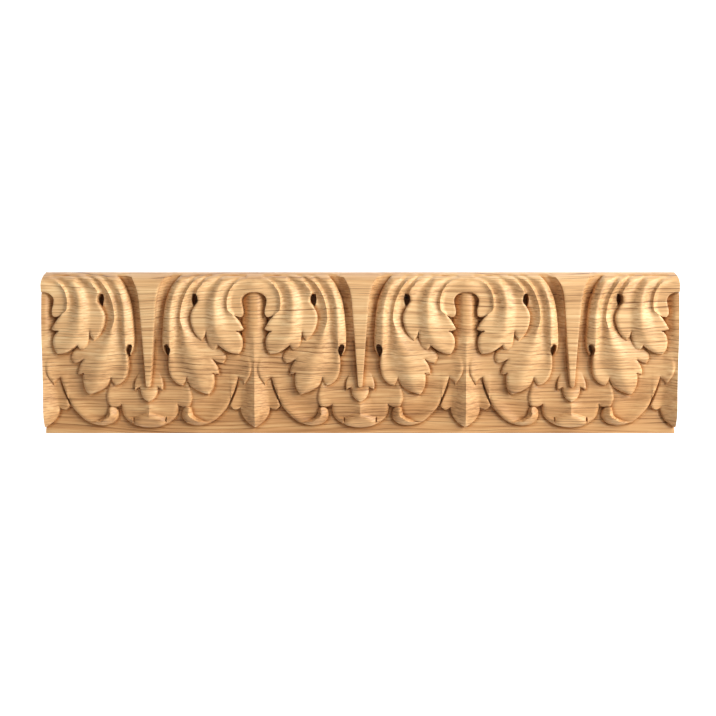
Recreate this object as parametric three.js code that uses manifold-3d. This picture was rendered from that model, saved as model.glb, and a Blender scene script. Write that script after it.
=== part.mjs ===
// Carved oak moulding: hooked acanthus leaves hang from a plain crown, with a pendant leaf and a
// dart by turns between them. Three repeats long, in one piece of wood, cut square at both ends.
// Millimetres, +Z up, front towards -Y. The origin is the middle of the flat back.
import * as THREE from "three";
import { mergeVertices } from "three/addons/utils/BufferGeometryUtils.js";
import Module from "manifold-3d";

// Driving dimensions
const HEIGHT = 80;
const REPEAT_LENGTH = 104;
const REPEATS = 3;
const FOOT_THICKNESS = 13;
const CROWN_THICKNESS = 24;
const TOP_EDGE_THICKNESS = 13;
const NOSE_HEIGHT = 7.5;

// The carving is a free form, drawn on half a repeat: u runs from the axis of the pendant leaf to
// the axis of the dart, v from the foot to the top, and t is the thickness out from the back.
// The drawing stretches to the sizes above.
const DRAWN = { half: 52, height: 80, foot: 13, crown: 24 };
const CORE = 6; // drawn thickness at which a carved form starts, buried in the board
const CLEAR = 30; // drawn thickness that is clear in front of all carving
const EYE_FLOOR = 13; // drawn thickness at the bottom of the eyes

const LENGTH = REPEATS * REPEAT_LENGTH;
const along = (u) => (u * REPEAT_LENGTH) / (2 * DRAWN.half);
const up = (v) => (v * HEIGHT) / DRAWN.height - HEIGHT / 2;
const out = (t) =>
  FOOT_THICKNESS +
  ((t - DRAWN.foot) * (CROWN_THICKNESS - FOOT_THICKNESS)) / (DRAWN.crown - DRAWN.foot);

const wasm = await Module();
wasm.setup();

// Closed solid of a geometry, for joining and cutting
function solid(geometry) {
  const bare = geometry.clone();
  bare.deleteAttribute("normal");
  bare.deleteAttribute("uv");
  const merged = mergeVertices(bare, 1e-4);
  return new wasm.Manifold(
    new wasm.Mesh({
      numProp: 3,
      vertProperties: new Float32Array(merged.attributes.position.array),
      triVerts: new Uint32Array(merged.index.array),
    }),
  );
}

function geometryOf(body) {
  const mesh = body.getMesh();
  const geometry = new THREE.BufferGeometry();
  geometry.setAttribute("position", new THREE.BufferAttribute(mesh.vertProperties, 3));
  geometry.setIndex(new THREE.BufferAttribute(mesh.triVerts, 1));
  return geometry;
}

const united = (bodies) => bodies.reduce((sum, body) => sum.add(body));

// The same solid moved along the moulding, or turned into its mirror image first
function moved(body, x, mirrored = false) {
  const geometry = geometryOf(body);
  if (mirrored) {
    geometry.scale(-1, 1, 1);
    const corners = geometry.index.array;
    for (let i = 0; i < corners.length; i += 3) {
      [corners[i + 1], corners[i + 2]] = [corners[i + 2], corners[i + 1]];
    }
  }
  return solid(geometry.translate(x, 0, 0));
}

// Value at v on the straight stretches between [v, value] points that go up in v
function between(points, v) {
  if (v <= points[0][0]) return points[0][1];
  for (let i = 1; i < points.length; i++) {
    const [low, a] = points[i - 1];
    const [high, b] = points[i];
    if (v <= high) return a + ((b - a) * (v - low)) / (high - low);
  }
  return points[points.length - 1][1];
}

const course = (points) => (v) => between(points, v);
const upright = (u) => () => u;

// A flute line rises straight at `side`, then arches over from its shoulder to `start` at the top.
// Below the shoulder it follows the [v, u] points of its tail.
function flute(start, side, shoulder, top, tail) {
  const low = [...tail, [shoulder, side]];
  return (v) => {
    if (v < shoulder) return between(low, v);
    const rise = Math.min((v - shoulder) / (top - shoulder), 1);
    return start + (side - start) * Math.sqrt(1 - rise * rise);
  };
}

// Lines run up the relief, from left to right: each has its place u and its thickness t at level v.
const line = (u, thickness) => ({ u, t: course(thickness) });

// The same line lifted by a height that changes with v
const raised = ({ u, t }, lift) => ({ u, t: (v) => t(v) + lift(v) });

// Lines of a form that is alike on both sides of its axis, from those at and right of the axis
function mirroredLines(lines) {
  const left = lines.slice(1).map(({ u, t }) => ({ u: (v) => -u(v), t }));
  return [...left.reverse(), ...lines];
}

// Block whose front passes through the lines at each level and whose back lies in the board
function block(lines, levels) {
  const columns = lines.length;
  const toBack = columns * levels.length;
  const positions = [];
  const indices = [];
  for (const v of levels) {
    for (const { u, t } of lines) positions.push(along(u(v)), -out(t(v)), up(v));
  }
  for (const v of levels) {
    for (const { u } of lines) positions.push(along(u(v)), -out(CORE - 1), up(v));
  }
  const quad = (a, b, c, d) => indices.push(a, b, c, a, c, d);
  for (let row = 1; row < levels.length; row++) {
    const [low, high] = [(row - 1) * columns, row * columns];
    for (let i = 1; i < columns; i++) {
      quad(low + i - 1, low + i, high + i, high + i - 1);
      quad(high + i - 1 + toBack, high + i + toBack, low + i + toBack, low + i - 1 + toBack);
    }
    const [lowEnd, highEnd] = [low + columns - 1, high + columns - 1];
    quad(high, high + toBack, low + toBack, low);
    quad(lowEnd, lowEnd + toBack, highEnd + toBack, highEnd);
  }
  const top = toBack - columns;
  for (let i = 1; i < columns; i++) {
    quad(i - 1, i - 1 + toBack, i + toBack, i);
    quad(top + i, top + i + toBack, top + i - 1 + toBack, top + i - 1);
  }
  const geometry = new THREE.BufferGeometry();
  geometry.setAttribute("position", new THREE.Float32BufferAttribute(positions, 3));
  geometry.setIndex(indices);
  return solid(geometry);
}

// Path from a start through runs of [u, v] points: a smooth curve along each run, a corner between runs
function path(start, runs) {
  const points = [start];
  for (const run of runs) {
    const chain = [points[points.length - 1], ...run].map(([u, v]) => new THREE.Vector2(u, v));
    const steps = run.length === 1 ? 1 : 2 * run.length;
    const curve = new THREE.SplineCurve(chain).getPoints(steps);
    points.push(...curve.slice(1).map(({ x, y }) => [x, y]));
  }
  return points;
}

// Closed path of a form that is alike on both sides of its axis, from its right half
function mirroredPath(start, runs) {
  const right = path(start, runs);
  const left = right.filter(([u]) => u !== 0).map(([u, v]) => [-u, v]);
  return [...right, ...left.reverse()];
}

// Straight-sided block of an outline, from drawn thickness `start` to clear of the carving
function prism(points, start = CORE) {
  const shape = new THREE.Shape(points.map(([u, v]) => new THREE.Vector2(along(u), up(v))));
  const depth = out(CLEAR) - out(start);
  const geometry = new THREE.ExtrudeGeometry(shape, { depth, bevelEnabled: false });
  return solid(geometry.rotateX(Math.PI / 2).translate(0, -out(start), 0));
}

const carved = (points, lines, levels) => prism(points).intersect(block(lines, levels));

// Bar of a section given as [thickness, level] in mm, longer than the moulding by `spare` at each end
function bar(section, spare) {
  const shape = new THREE.Shape(section.map(([thickness, level]) => new THREE.Vector2(-thickness, level)));
  const geometry = new THREE.ExtrudeGeometry(shape, { depth: LENGTH + 2 * spare, bevelEnabled: false });
  const standing = new THREE.Matrix4().makeBasis(
    new THREE.Vector3(0, 1, 0),
    new THREE.Vector3(0, 0, 1),
    new THREE.Vector3(1, 0, 0),
  );
  return solid(geometry.applyMatrix4(standing).translate(-LENGTH / 2 - spare, 0, 0));
}

// Levels [v, t] of the sunk ground, up to the edge of the crown
const CROWN_BAND = 1.7; // drawn height of the full crown along the top
const CROWN_EDGE = DRAWN.height - CROWN_BAND;
const GROUND = [
  [0, DRAWN.foot], [12, DRAWN.foot], [24, 14], [40, 16.3], [50, 17.4], [60, 17.8], [CROWN_EDGE, 17.4],
];

// Sunk ground behind the carving, rising to the full crown along the top
function board() {
  const face = [...GROUND, [CROWN_EDGE + 0.2, CLEAR]].map(([v, t]) => [out(t), up(v)]);
  return bar([[0, up(0)], ...face, [out(CLEAR), up(DRAWN.height)], [0, up(DRAWN.height)]], REPEAT_LENGTH);
}

// Space that the finished moulding lies in: square ends, flat back, foot and top, and the rounded nose
function blank() {
  const steps = 8;
  const noseStart = HEIGHT / 2 - NOSE_HEIGHT;
  const nose = [];
  for (let i = 0; i <= steps; i++) {
    const share = i / steps;
    const fallen = (CROWN_THICKNESS - TOP_EDGE_THICKNESS) * share * share;
    nose.push([CROWN_THICKNESS - fallen, noseStart + share * NOSE_HEIGHT]);
  }
  const clear = out(CLEAR);
  return bar([[0, up(0)], [clear, up(0)], [clear, noseStart], ...nose, [0, HEIGHT / 2]], 0);
}

// Lines of the two leaves, from the arch outwards. Crests and valleys take turns.
const ARCH_VALLEY = flute(1, 11.1, 64, 75.2, [[57, 7.6], [58, 8.4], [61, 10.9]]);
const ARCH_CREST = flute(3, 13.1, 64, 76.3, [[36, 5], [51, 5], [55, 7], [58, 9.6], [61, 12.8]]);
const LEAF_VALLEY = flute(4.4, 14.4, 64, 76.8, [[36, 8], [45, 9.5], [51, 11], [58, 13.3]]);
const LEAF_CREST = flute(9.4, 19.2, 62, 78, [[38, 10.5], [42, 13.5], [47.5, 16.6], [51, 18.4]]);
const RIM_VALLEY = flute(10.5, 24.5, 60, 79, [[46, 23.2], [50, 23.5], [54, 24.3]]);
const RIM = flute(13, 30.7, 58, 79.3, [[44, 25.5], [46, 26], [50, 29], [54, 30.6]]);
const STRAND = flute(13, 30.7, 58, 79.3, [[18, 17], [30, 15], [36, 15], [44, 20], [50, 26]]);
const STRAND_VALLEY = flute(17, 33, 56, 79.3, [[18, 21], [30, 22], [38, 24], [44, 28], [50, 31]]);
const LOWER_CREST = flute(19, 36, 56, 79.5, [[18, 23.5], [27, 27], [38, 29.9], [44, 32.8], [51, 34.6]]);
const LOWER_VALLEY = flute(22, 37.3, 58, 79.5, [[18, 31], [27, 33.6], [32, 37], [38, 38.6], [51, 37.5]]);
const OUTER_CREST = flute(28, 41, 55, 79.8, [[18, 35], [24, 38], [28, 41], [38, 42.2], [45, 41.1]]);
const OUTER_EDGE = flute(31, 45, 50, 80.5, [[18, 42], [28, 45]]);
const beside = (lineCourse, step) => (v) => lineCourse(v) + step;

// Arch over the head of the pendant leaf, with a lobe hooked under each end
function arch() {
  const edge = mirroredPath([0, 69.5], [
    [[3.8, 68.9], [6.1, 65.6], [5.3, 58.4]],
    [[9.4, 58.1], [12.8, 61.2]],
    [[12.4, 68.5], [8.2, 74.5], [3, 77.8]],
  ]);
  const lines = mirroredLines([
    line(upright(0), [[56, 23], [70, 23.2], [72.4, 23.4], [75, 22.5], [77, 20.1], [78, 19]]),
    line(ARCH_VALLEY, [[57, 22.7], [66, 22.8], [72, 23], [75, 22.1], [77, 19.6], [78, 18]]),
    line(ARCH_CREST, [[57, 23.4], [61, 24.1], [66, 24.3], [72, 24.1], [76, 22.3], [78, 19]]),
    line(beside(ARCH_CREST, 2), [[57, 22], [72, 22.4], [76, 20], [78, 17]]),
  ]);
  return carved(edge, lines, [56, 66, 72, 75, 78]);
}

// Upper leaf: its crest comes down from the crown and ends in lobes on both sides
function upperLeaf() {
  const edge = path([9, 60], [
    [[5.1, 51.6]],
    [[8, 50.4]],
    [[5.6, 45], [7.6, 39.3]],
    [[12.6, 40.1], [17.6, 43.6]],
    [[20.9, 41.8], [23.5, 50.6]],
    [[25.6, 45.9]],
    [[30.4, 52.4], [30.8, 59], [27.6, 64.7]],
    [[28.9, 68.2]],
    [[25, 74], [19, 78]],
    [[3, 77.5]],
    [[10, 67]],
  ]);
  const lines = [
    line(beside(ARCH_CREST, -4), [[36, 20], [50, 21.2], [58, 21.8], [72, 22], [76, 20], [78, 17]]),
    line(ARCH_CREST, [
      [36, 20.8], [42, 21.9], [50, 23.2], [58, 23.7], [64, 24.2], [72, 24.1], [76, 22.3], [78, 19],
    ]),
    line(LEAF_VALLEY, [
      [36, 21.4], [45, 23], [52, 23.5], [58, 23], [66, 22.6], [72, 22.4], [76, 20.6], [78, 17.4],
    ]),
    line(LEAF_CREST, [
      [36, 21.8], [42, 23.2], [50, 24.5], [58, 25], [66, 24.9], [72, 24.1], [76, 22.4], [78.5, 18],
    ]),
    line(RIM_VALLEY, [
      [40, 21.8], [46, 22.4], [50, 22.6], [58, 22.7], [66, 22.6], [72, 22.1], [76, 20.2], [78.5, 16.9],
    ]),
    line(RIM, [[44, 22.6], [50, 23.5], [58, 24.2], [66, 24.3], [72, 24.1], [76, 22.3], [79, 17]]),
    line(beside(RIM, 3), [[44, 22], [58, 23.6], [72, 24.1], [76, 22.3], [79, 17]]),
  ];
  return carved(edge, lines, [38, 46, 52, 58, 66, 73, 78.5]);
}

// Lower leaf: its strands pass outside the upper leaf, and the outermost turns in to an eye
function lowerLeaf() {
  const edge = path([17, 43], [
    [[13.9, 38], [15.4, 34.7]],
    [[20.5, 36.8]],
    [[17.5, 29.4]],
    [[19.9, 29.5]],
    [[20.2, 23.9], [22.6, 19.3]],
    [[30.2, 22.6], [33.4, 27.6]],
    [[35.3, 23.8]],
    [[41.2, 29], [41.9, 38.2]],
    [[45.1, 44.5], [43.2, 65.6], [36, 78.5]],
    [[12, 78]],
    [[22, 60]],
  ]);
  const lines = [
    line(beside(STRAND, -6), [[18, 17], [44, 19.4], [60, 20.6], [72, 21.4], [76, 20], [79, 15]]),
    line(STRAND, [
      [18, 17.8], [28, 19.2], [36, 20.2], [44, 21], [54, 21.2], [60, 22.6], [64, 24], [72, 24.1],
      [76, 22.4], [79, 17],
    ]),
    line(STRAND_VALLEY, [
      [18, 18.6], [26, 20.3], [36, 21.7], [44, 22.2], [54, 21.9], [66, 21.9], [72, 22], [76, 20.2],
      [79, 15.4],
    ]),
    line(LOWER_CREST, [
      [18, 19], [26, 21.1], [32, 22.2], [38, 22.9], [54, 23.7], [66, 23.8], [72, 24], [76, 22.3], [79, 17],
    ]),
    line(LOWER_VALLEY, [
      [18, 18], [26, 19.4], [38, 20.8], [54, 21.6], [66, 21.9], [72, 22], [76, 20.2], [79, 15.6],
    ]),
    line(OUTER_CREST, [
      [18, 19], [28, 20.3], [36, 21.6], [44, 23.2], [54, 24], [66, 24.1], [76, 22.4], [79, 17],
    ]),
    line(OUTER_EDGE, [[18, 18], [28, 19.8], [44, 21.6], [66, 21.9], [72, 21.9], [76, 20.6], [79, 15.6]]),
  ];
  return carved(edge, lines, [18, 28, 38, 48, 58, 67, 79]);
}

// Holes where a strand parts from the rim of the leaf inside it
function eyes() {
  const upper = path([28.6, 68.8], [
    [[30, 68.8]],
    [[30.5, 66.4], [29.7, 62.6]],
    [[27.6, 65.8], [28.6, 68.8]],
  ]);
  const lower = path([42.3, 43.9], [
    [[44.2, 43.3]],
    [[43.4, 40.2], [42.2, 38]],
    [[41.2, 41], [42.3, 43.9]],
  ]);
  return prism(upper.slice(1), EYE_FLOOR).add(prism(lower.slice(1), EYE_FLOOR));
}

// Outer edge of the cup, from the stem round to the scroll at its end
const CUP_EDGE = [[16.2, 10.2], [22.3, 5.3], [29, 4], [35.4, 6.8], [36, 11.6]];

// Front of the pendant leaf, from its axis to its right
const PENDANT_FRONT = [
  line(upright(0), [
    [3, 15.2], [5.4, 16.8], [8.2, 18.2], [12, 18.9], [21, 19.2], [31, 20.1], [38.6, 20.9],
    [44.5, 21.9], [53, 22.5], [60, 22.6], [66, 22.4], [71, 22.2],
  ]),
  line(upright(4), [[3, 14.2], [9, 16.1], [12, 16.7], [31, 18.5], [38.6, 19.8], [53, 21], [71, 20.7]]),
  line(upright(7.2), [[3, 13.8], [9, 14.9], [21, 15.8], [31, 17.4], [38.6, 18.6], [53, 18.6], [71, 18.4]]),
  line(upright(12.5), [[3, 13.6], [12, 15.9], [24, 16], [71, 18]]),
];

// Calyx: a sepal beside the pendant leaf, opening into a wide shallow cup with a rolled lip
function calyx() {
  const sepalEdge = path([2.1, 38], [
    [[1.6, 31.4], [5, 24.5]],
    [[8.2, 27.9]],
    [[9, 38]],
  ]);
  const lift = course([[28, 1.1], [34, 0.6], [39, 0]]);
  const sepal = carved(sepalEdge, PENDANT_FRONT.map((part) => raised(part, lift)), [24, 31, 38.6]);
  const edge = path([5, 24.5], [
    [[8.2, 27.9]],
    [[10.8, 19.6], ...CUP_EDGE],
    [[33.6, 12.4]],
    [[34, 20]],
    [[34, 42]],
    [[5, 42]],
  ]);
  const stem = course([
    [4, 26], [5.3, 22.3], [7.3, 19.1], [10.2, 16.2], [13.3, 13.6], [20.8, 10.4], [27.9, 8.2], [30, 2],
  ]);
  const lines = [
    line(beside(stem, -2), [[3, 15.3], [12, 15.9], [20, 16.8], [28, 18.1], [34, 18.7], [42, 18]]),
    line(beside(stem, 10), [[3, 14.3], [12, 14.8], [20, 15.7], [28, 17.4], [34, 18.6], [42, 18]]),
    line(upright(40), [[3, 14.3], [12, 14.8], [20, 17.2], [34, 19.6], [42, 19]]),
  ];
  const lip = path([21.5, 5.5], [
    CUP_EDGE.slice(1),
    [[34.9, 12.8], [31.6, 12.9]],
    [[30.7, 9.2], [27.3, 6.9], [21.5, 5.5]],
  ]).slice(0, -1);
  const lipLines = [
    line(upright(20), [[4, 15.4], [8, 15.6]]),
    line(upright(28), [[4, 15.2], [6.5, 16.6], [13, 16.6]]),
    line(upright(32.5), [[4.5, 15.2], [8, 17.2], [13, 16.6]]),
    line(upright(36.5), [[4, 14.8], [13, 15]]),
  ];
  const cup = carved(edge, lines, [3, 12, 20, 42]);
  return united([sepal, cup, carved(lip, lipLines, [3, 6.5, 8, 13.5])]);
}

// Pendant leaf: the ridged stem under the arch and the barbed leaf that ends it
function pendant() {
  const edge = mirroredPath([0, 3], [
    [[4.9, 6.7], [7.3, 12.8]],
    [[10, 11.7]],
    [[12.4, 13.9]],
    [[9.2, 20.4], [8, 28]],
    [[6.4, 42]],
    [[6.6, 71]],
  ]);
  return carved(edge, mirroredLines(PENDANT_FRONT), [3, 9, 12, 31, 53, 71]);
}

// The dart and what is round its foot are drawn from their own axis, with u = 0 there.

// Dart between two leaves, widening up into the crown. The ground sweeps up to its sides.
function dart() {
  const half = (v) => 1.15 + 0.0755 * (v - 24.8) + 5 * Math.max(0, (v - 62) / 17.5) ** 3;
  const sweep = beside(half, 3.2);
  const outline = (side, levels) => levels.map((v) => [[side(v), v]]);
  const face = [[22, 21.4], [40, 21.7], [50, 22.3], [60, 23.2], [68, DRAWN.crown], [80, DRAWN.crown]];
  const blade = carved(
    mirroredPath([0.7, 23], outline(half, [25, 62, 68, 73, 79.5])),
    [line(upright(-14), face), line(upright(14), face)],
    [22, 40, 50, 60, 68, 80],
  );
  const rise = course([[36, 0], [60, 3.4]]);
  const slopes = carved(
    mirroredPath([0, 36], outline(sweep, [36, 62, 79.5])),
    mirroredLines([
      raised(line(upright(0), GROUND), rise),
      raised(line(half, GROUND), rise),
      line(sweep, GROUND),
    ]),
    [36, 60, 79.5],
  );
  return blade.add(slopes);
}

// Shell leaf under the dart: a ridge down its middle, and a lip that turns out below a crease
function shell() {
  const edge = mirroredPath([0, 2.9], [
    [[7, 4.2], [12.6, 8], [14.1, 14]],
    [[19.2, 12.6]],
    [[21.1, 17.4], [19.9, 24]],
    [[14, 60]],
  ]);
  const lines = mirroredLines([
    line(upright(0), [[2, 15.3], [5, 16.3], [7.5, 17.7], [10.4, 17.4], [20, 17.6], [60, 18.5]]),
    line(upright(3.5), [[2, 15.1], [5, 16.2], [7.5, 16.8], [10, 16.2], [14, 16.7], [20, 16.9], [60, 18.5]]),
    line(upright(8.2), [[2, 15.4], [5, 16.3], [8, 14.9], [14, 16.3], [20, 16.9], [60, 18.5]]),
    line(upright(13.5), [[2, 14.7], [9, 14.9], [14, 16.1], [20, 17.1], [60, 18.6]]),
    line(upright(21), [[2, 14.7], [9, 14.9], [14, 16.6], [20, 18.1], [60, 19]]),
  ]);
  return carved(edge, lines, [2, 5, 8, 10.4, 14, 20, 60]);
}

// Bud at the foot of the dart, in two sepals
function bud() {
  const lines = mirroredLines([
    line(upright(0), [[15, 19.7], [20, 19.7], [23, 18.8], [24, 18.8]]),
    line(upright(2.5), [[15, 19.3], [20, 19.3], [23, 18.4], [24, 18.4]]),
    line(upright(5), [[15, 18], [20, 18], [24, 17.4]]),
  ]);
  const cup = carved(mirroredPath([0, 15.8], [[[3.4, 18.7], [4.4, 23.3]]]), lines, [15, 20, 24]);
  const edge = path([4.1, 23.1], [
    [[6.7, 21.8]],
    [[6.9, 25.4], [5.2, 29.8]],
    [[1, 31.5]],
    [[1, 22.6]],
  ]);
  const sepalLines = [
    line(upright(0), [[22, 18.8], [25, 18.9], [31.5, 17.7]]),
    line(upright(8), [[22, 18.8], [25, 18.9], [31.5, 17.7]]),
  ];
  const sepal = carved(edge, sepalLines, [22, 25, 31.5]);
  return united([cup, sepal, moved(sepal, 0, true)]);
}

const carvedMoulding = () => {
  const rightHalf = united([calyx(), lowerLeaf(), upperLeaf()]);
  const pendantGroup = united([pendant(), rightHalf, moved(rightHalf, 0, true), arch()]);
  const dartGroup = united([shell(), bud(), dart()]);
  const holes = eyes().add(moved(eyes(), 0, true));
  const pendantPlace = (i) => i * REPEAT_LENGTH - LENGTH / 2;
  const dartPlace = (i) => (i + 0.5) * REPEAT_LENGTH - LENGTH / 2;
  const forms = [board()];
  for (let i = 0; i <= REPEATS; i++) forms.push(moved(pendantGroup, pendantPlace(i)));
  for (let i = 0; i < REPEATS; i++) forms.push(moved(dartGroup, dartPlace(i)));
  let body = united(forms).intersect(blank());
  for (let i = 0; i <= REPEATS; i++) body = body.subtract(moved(holes, pendantPlace(i)));
  return body;
};

const oak = new THREE.MeshStandardMaterial({ color: 0xd2a36c, roughness: 0.6, metalness: 0 });
const moulding = new THREE.Mesh(geometryOf(carvedMoulding()), oak);
moulding.name = "carved_moulding";

const part = new THREE.Group();
part.add(moulding);
export default part;
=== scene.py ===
"""Carved oak moulding: hooked acanthus leaves, pendant leaves and darts under a plain crown.

One carved half repeat is triangulated from its drawing, then mirrored and repeated along the board.
"""
import math

import bmesh
import bpy
import numpy as np
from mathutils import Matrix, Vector
from mathutils.geometry import delaunay_2d_cdt
from mathutils.kdtree import KDTree


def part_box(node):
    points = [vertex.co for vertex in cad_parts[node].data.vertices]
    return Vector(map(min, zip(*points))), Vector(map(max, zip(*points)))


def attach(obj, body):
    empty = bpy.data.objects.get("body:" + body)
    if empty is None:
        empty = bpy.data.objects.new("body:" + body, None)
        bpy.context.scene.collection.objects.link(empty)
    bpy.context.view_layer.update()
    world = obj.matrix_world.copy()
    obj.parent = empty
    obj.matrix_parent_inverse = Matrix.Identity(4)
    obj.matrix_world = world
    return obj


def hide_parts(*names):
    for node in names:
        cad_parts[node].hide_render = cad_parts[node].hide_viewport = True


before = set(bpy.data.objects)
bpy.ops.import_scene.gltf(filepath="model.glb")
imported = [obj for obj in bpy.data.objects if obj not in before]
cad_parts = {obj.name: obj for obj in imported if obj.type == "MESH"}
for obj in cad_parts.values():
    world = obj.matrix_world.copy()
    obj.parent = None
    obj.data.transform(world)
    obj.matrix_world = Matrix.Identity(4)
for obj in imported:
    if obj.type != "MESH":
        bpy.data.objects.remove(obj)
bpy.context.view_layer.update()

NODE = "carved_moulding"
REPEATS = 3

# The drawing: u from the pendant leaf's axis to the dart's, v from foot to top, and t the thickness
# out from the back, all in drawn millimetres. The frame's own box gives the real size.
HALF = 52.0
TOP = 80.0
FOOT = 13.0  # t of the flat band along the foot
CROWN = 24.0  # t of the crown
CROWN_EDGE = 78.3  # v at which the crown meets the sunk ground
NOSE = 7.5  # height over which the crown rounds back
CREST_END = 6.25  # height below it over which the highest crests sink to the crown's thickness
DEEPEST = 25.0  # t of the highest crest
THINNEST = 1.0  # t that nothing is carved below
EYE_FLOOR = 13.0  # t at the bottom of the eyes

LOW, HIGH = (Vector(corner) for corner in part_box(NODE))
ALONG = (HIGH.x - LOW.x) / (2 * REPEATS * HALF)
UP = (HIGH.z - LOW.z) / TOP
OUT = (HIGH.y - LOW.y) / DEEPEST


# Numbers along a course

def smooth(x):
    """0 up to x = 0, 1 from x = 1, and a soft rise between."""
    x = np.clip(x, 0.0, 1.0)
    return x * x * (3.0 - 2.0 * x)


def course(points, v):
    """Smooth curve through (v, value) points in rising v, with no overshoot."""
    x, y = np.array(points, float).T
    slope = np.diff(y) / np.diff(x)
    m = np.zeros(len(x))
    m[0], m[-1] = slope[0], slope[-1]
    for i in range(1, len(x) - 1):
        if slope[i - 1] * slope[i] > 0:
            m[i] = 2 * slope[i - 1] * slope[i] / (slope[i - 1] + slope[i])
    v = np.clip(v, x[0], x[-1])
    i = np.clip(np.searchsorted(x, v) - 1, 0, len(x) - 2)
    h = x[i + 1] - x[i]
    s = (v - x[i]) / h
    rise = smooth(s) * (y[i + 1] - y[i])
    return y[i] + rise + s * (1 - s) * h * ((1 - s) * m[i] - s * m[i + 1])


def flute(start, side, shoulder, top, tail):
    """u of a flute line at v: upright at side, arching over from its shoulder to start at the top."""
    low = list(tail) + [(shoulder, side)]

    def at(v):
        rise = np.clip((v - shoulder) / (top - shoulder), 0.0, 1.0)
        arc = start + (side - start) * np.sqrt(1.0 - rise * rise)
        return np.where(v >= shoulder, arc, course(low, np.minimum(v, shoulder)))
    return at


def upright(u):
    """A line that stands at u."""
    return lambda v: np.full(np.shape(v), float(u))


def beside(line, step):
    """A line a step to the right of another."""
    return lambda v: line(v) + step


# Lines of the two leaves, from the arch outwards: crests and valleys by turns
ARCH_VALLEY = flute(1, 11.1, 64, 75.2, [(57, 7.6), (58, 8.4), (61, 10.9)])
ARCH_CREST = flute(3, 13.1, 64, 76.3, [(36, 5), (51, 5), (55, 7), (58, 9.6), (61, 12.8)])
LEAF_VALLEY = flute(4.4, 14.4, 64, 76.8, [(36, 8), (45, 9.5), (51, 11), (58, 13.3)])
LEAF_CREST = flute(9.4, 19.2, 62, 78, [(38, 10.5), (42, 13.5), (47.5, 16.6), (51, 18.4)])
RIM_VALLEY = flute(10.5, 24.5, 60, 79, [(46, 23.2), (50, 23.5), (54, 24.3)])
RIM = flute(13, 30.7, 58, 79.3, [(44, 25.5), (46, 26), (50, 29), (54, 30.6)])
STRAND = flute(13, 30.7, 58, 79.3, [(18, 17), (30, 15), (36, 15), (44, 20), (50, 26)])
STRAND_VALLEY = flute(17, 33, 56, 79.3, [(18, 21), (30, 22), (38, 24), (44, 28), (50, 31)])
LOWER_CREST = flute(19, 36, 56, 79.5, [(18, 23.5), (27, 27), (38, 29.9), (44, 32.8), (51, 34.6)])
LOWER_VALLEY = flute(22, 37.3, 58, 79.5, [(18, 31), (27, 33.6), (32, 37), (38, 38.6), (51, 37.5)])
OUTER_CREST = flute(28, 41, 55, 79.8, [(18, 35), (24, 38), (28, 41), (38, 42.2), (45, 41.1)])
OUTER_EDGE = flute(31, 45, 50, 80.5, [(18, 42), (28, 45)])


def sharpness_at(sharpness, v):
    """Sharpness at v, where it is one number or a course along the line."""
    return course(sharpness, v) if isinstance(sharpness, list) else np.full(np.shape(v), float(sharpness))


def loft(u, v, lines):
    """Thickness on the surface through lines of (u of v, [(v, t)], sharpness), left to right.

    Sharpness shapes a crest or a valley: 0 rounds it over, 1 or more leaves a ridge.
    """
    us = np.array([line[0](v) for line in lines])
    ts = np.array([course(line[1], v) for line in lines])
    spans = np.maximum(np.diff(us, axis=0), 0.05)
    slopes = np.diff(ts, axis=0) / spans
    alike = slopes[:-1] * slopes[1:] > 0
    even = 2 * slopes[:-1] * slopes[1:] / np.where(alike, slopes[:-1] + slopes[1:], 1)
    even = np.where(alike, even, 0)
    t = np.where(u <= us[0], ts[0], ts[-1])
    for i, (span, slope) in enumerate(zip(spans, slopes)):
        sharp = [sharpness_at(line[2], v) for line in lines[i:i + 2]]
        before = even[i - 1] if i else 0 * slope
        after = even[i] if i < len(even) else 0 * slope
        start = before + (slope - before) * sharp[0]
        end = after + (slope - after) * sharp[1]
        s = (u - us[i]) / span
        rise = slope * smooth(s) + s * (1 - s) * ((1 - s) * start - s * end)
        t = np.where((s >= 0) & (s <= 1), ts[i] + span * rise, t)
    return t


# Outlines

def spline(points, step):
    """Points along a Catmull-Rom curve through points, without the last one."""
    p = np.array(points, float)
    if len(p) > 2:
        p = np.vstack([p[0], p, p[-1]])
        spans = [p[i:i + 4] for i in range(len(p) - 3)]
    else:
        spans = [np.array([p[0], p[0], p[1], p[1]])]
    out = []
    for a, b, c, d in spans:
        count = max(1, math.ceil(np.linalg.norm(c - b) / step))
        s = np.arange(count)[:, None] / count
        if len(spans) == 1:
            out.append(b + (c - b) * s)
            continue
        v0, v1 = (c - a) / 2, (d - b) / 2
        out.append((2 * b - 2 * c + v0 + v1) * s ** 3 + (3 * c - 3 * b - 2 * v0 - v1) * s ** 2 + v0 * s + b)
    return np.vstack(out)


def path(start, runs, step):
    """Points from start through runs: a smooth curve along each run, and a corner between runs."""
    out = []
    corner = start
    for run in runs:
        out.append(spline([corner, *run], step))
        corner = run[-1]
    return np.vstack([*out, [corner]])


def closed(chain):
    """A chain of runs that ends where it starts, as a ring without the doubled point."""
    return chain[:-1] if np.allclose(chain[0], chain[-1]) else chain


def offset(chain, distance, ring):
    """The chain moved sideways, to its left for a positive distance, with clipped corners."""
    if ring:
        ahead = np.roll(chain, -1, axis=0) - chain
        behind = chain - np.roll(chain, 1, axis=0)
    else:
        ahead = np.vstack([chain[1:] - chain[:-1], chain[-1:] - chain[-2:-1]])
        behind = np.vstack([ahead[:1], ahead[:-1]])
    ahead /= np.linalg.norm(ahead, axis=1)[:, None]
    behind /= np.linalg.norm(behind, axis=1)[:, None]
    across = np.column_stack([-(ahead + behind)[:, 1], (ahead + behind)[:, 0]])
    length = np.linalg.norm(across, axis=1)[:, None]
    across /= np.maximum(length, 1e-6)
    reach = 1.0 / np.maximum(length / 2, 0.4)
    return chain + across * reach * distance


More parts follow.
